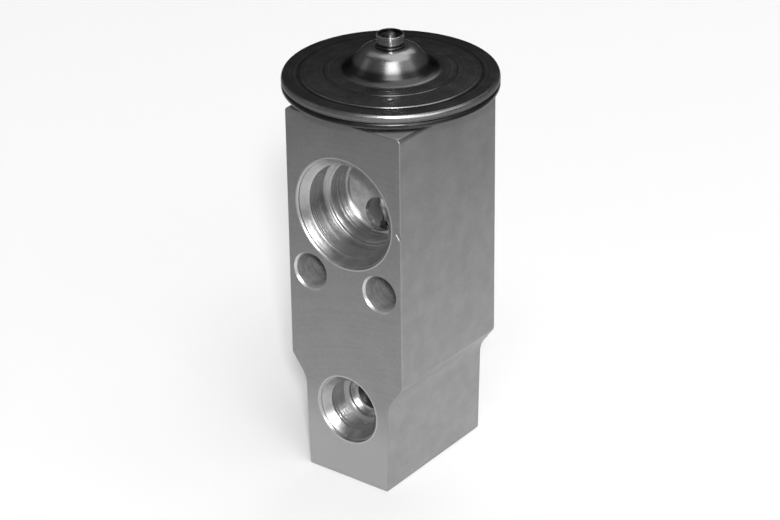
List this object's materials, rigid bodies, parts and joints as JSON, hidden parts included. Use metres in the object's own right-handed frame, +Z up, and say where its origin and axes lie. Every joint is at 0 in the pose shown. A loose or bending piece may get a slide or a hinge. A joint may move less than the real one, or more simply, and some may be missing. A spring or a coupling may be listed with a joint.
{
  "type": "thermostatic expansion valve",
  "caption": "Block expansion valve: narrow-footed aluminium body with stepped ports front and rear, cross holes for bolts and a round diaphragm head with a small charging boss on top.",
  "frame": {"origin": "middle of the foot's flat underside, on the valve's working axis", "axes": "+Z up along the working axis to the head; -Y out of the front ports; +X across the block's width, to the right when looking at the front ports"},
  "size_m": [0.04, 0.04, 0.0869],
  "materials": {
    "machined_aluminium": "satin milled and sawn, fine drawn lines",
    "dark_head_steel": "dark glossy pressed sheet, fine turned rings",
    "bright_steel": "bright turned",
    "spring_steel": "bright drawn",
    "rod_aluminium": "fine turned",
    "seal_rubber": "matt black",
    "washer_plastic": "waxy white",
    "plated_steel": "plated, fine turned"
  },
  "bodies": {
    "block": {"valve_body": "machined_aluminium", "head_cover": "dark_head_steel", "head_lower_housing": "dark_head_steel", "diaphragm": "spring_steel", "charge_boss": "bright_steel", "charge_ball": "bright_steel", "head_seal": "seal_rubber", "seal_washer": "washer_plastic", "pin_seal": "seal_rubber", "seal_retainer": "plated_steel", "valve_seat": "spring_steel"},
    "stem": {"diaphragm_pad": "rod_aluminium", "sensing_rod": "rod_aluminium", "push_pin": "spring_steel", "valve_ball": "bright_steel", "ball_carrier": "plated_steel", "damping_spring": "spring_steel", "valve_spring": "spring_steel"},
    "adjuster_ring": {"adjuster_seal": "seal_rubber"},
    "adjuster": {"adjusting_screw": "plated_steel"}
  },
  "joints": [
    {"name": "valve_stroke", "type": "slide", "parent": "block", "child": "stem", "axis": [0, 0, -1], "range_m": [0, 0.0008], "stiffness_N_per_m": 5000, "springref_m": -0.00005, "deforming": ["valve_spring"]},
    {"name": "adjuster_travel", "type": "slide", "parent": "block", "child": "adjuster_ring", "axis": [0, 0, 1], "range_m": [-0.00075, 0.00075]},
    {"name": "adjuster_turn", "type": "hinge", "parent": "adjuster_ring", "child": "adjuster", "pos_m": [0, 0, 0.003], "axis": [0, 0, 1], "range_deg": [-361, 361]}
  ],
  "couplings": [
    {"joint": "adjuster_turn", "follows": "adjuster_travel", "rad_per_m": 8377.6}
  ]
}
